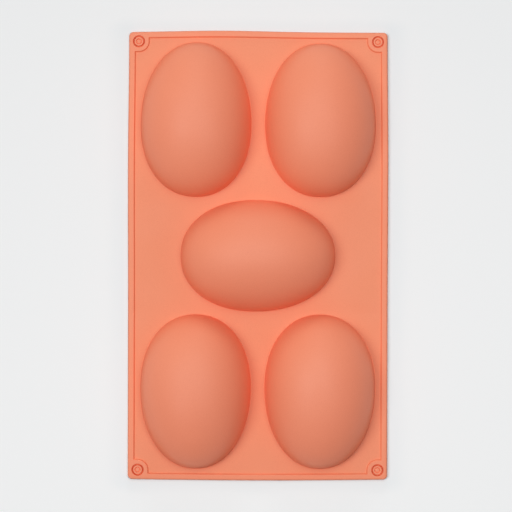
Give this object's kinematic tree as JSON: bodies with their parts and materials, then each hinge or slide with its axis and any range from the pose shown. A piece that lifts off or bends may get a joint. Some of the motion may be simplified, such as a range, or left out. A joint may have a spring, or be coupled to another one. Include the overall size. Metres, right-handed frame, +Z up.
{
  "type": "silicone soap mould",
  "caption": "Flexible one-piece mould with half-egg cups in a flat web, a raised rim and ringed corner pads, lying mouth side down.",
  "frame": {"origin": "middle of the flat mouth face, on the surface that the mould lies on", "axes": "+Z up out of the cups' backs, +Y along the long side towards the rear pair of cups, +X to the right, towards the middle cup's pointed end"},
  "size_m": [0.1706, 0.295, 0.0362],
  "materials": {
    "silicone": "soft matte coral silicone, coloured right through"
  },
  "bodies": {
    "centre_section": {"centre_left_web": "silicone", "centre_right_web": "silicone", "centre_left_rim": "silicone", "centre_right_rim": "silicone", "centre_cup_wall": "silicone", "front_fold_strip": "silicone", "rear_fold_strip": "silicone"},
    "front_section": {"front_web": "silicone", "front_rim": "silicone", "front_left_rim": "silicone", "front_right_rim": "silicone", "front_left_pad": "silicone", "front_right_pad": "silicone", "front_left_cup_wall": "silicone", "front_right_cup_wall": "silicone"},
    "rear_section": {"rear_web": "silicone", "rear_rim": "silicone", "rear_left_rim": "silicone", "rear_right_rim": "silicone", "rear_left_pad": "silicone", "rear_right_pad": "silicone", "rear_left_cup_wall": "silicone", "rear_right_cup_wall": "silicone"},
    "centre_crown": {"centre_crown": "silicone"},
    "front_left_crown": {"front_left_crown": "silicone"},
    "front_right_crown": {"front_right_crown": "silicone"},
    "rear_left_crown": {"rear_left_crown": "silicone"},
    "rear_right_crown": {"rear_right_crown": "silicone"}
  },
  "joints": [
    {"name": "front_fold", "type": "hinge", "parent": "centre_section", "child": "front_section", "pos_m": [0, -0.0375, 0.0016], "axis": [-1, 0, 0], "range_deg": [0, 40], "stiffness_Nm_per_rad": 0.05, "deforming": ["front_fold_strip"]},
    {"name": "rear_fold", "type": "hinge", "parent": "centre_section", "child": "rear_section", "pos_m": [0, 0.0375, 0.0016], "axis": [1, 0, 0], "range_deg": [0, 40], "stiffness_Nm_per_rad": 0.05, "deforming": ["rear_fold_strip"]},
    {"name": "centre_press", "type": "slide", "parent": "centre_section", "child": "centre_crown", "axis": [0, 0, -1], "range_m": [0, 0.015], "stiffness_N_per_m": 400, "deforming": ["centre_cup_wall"]},
    {"name": "front_left_press", "type": "slide", "parent": "front_section", "child": "front_left_crown", "axis": [0, 0, -1], "range_m": [0, 0.015], "stiffness_N_per_m": 400, "deforming": ["front_left_cup_wall"]},
    {"name": "front_right_press", "type": "slide", "parent": "front_section", "child": "front_right_crown", "axis": [0, 0, -1], "range_m": [0, 0.015], "stiffness_N_per_m": 400, "deforming": ["front_right_cup_wall"]},
    {"name": "rear_left_press", "type": "slide", "parent": "rear_section", "child": "rear_left_crown", "axis": [0, 0, -1], "range_m": [0, 0.015], "stiffness_N_per_m": 400, "deforming": ["rear_left_cup_wall"]},
    {"name": "rear_right_press", "type": "slide", "parent": "rear_section", "child": "rear_right_crown", "axis": [0, 0, -1], "range_m": [0, 0.015], "stiffness_N_per_m": 400, "deforming": ["rear_right_cup_wall"]}
  ]
}
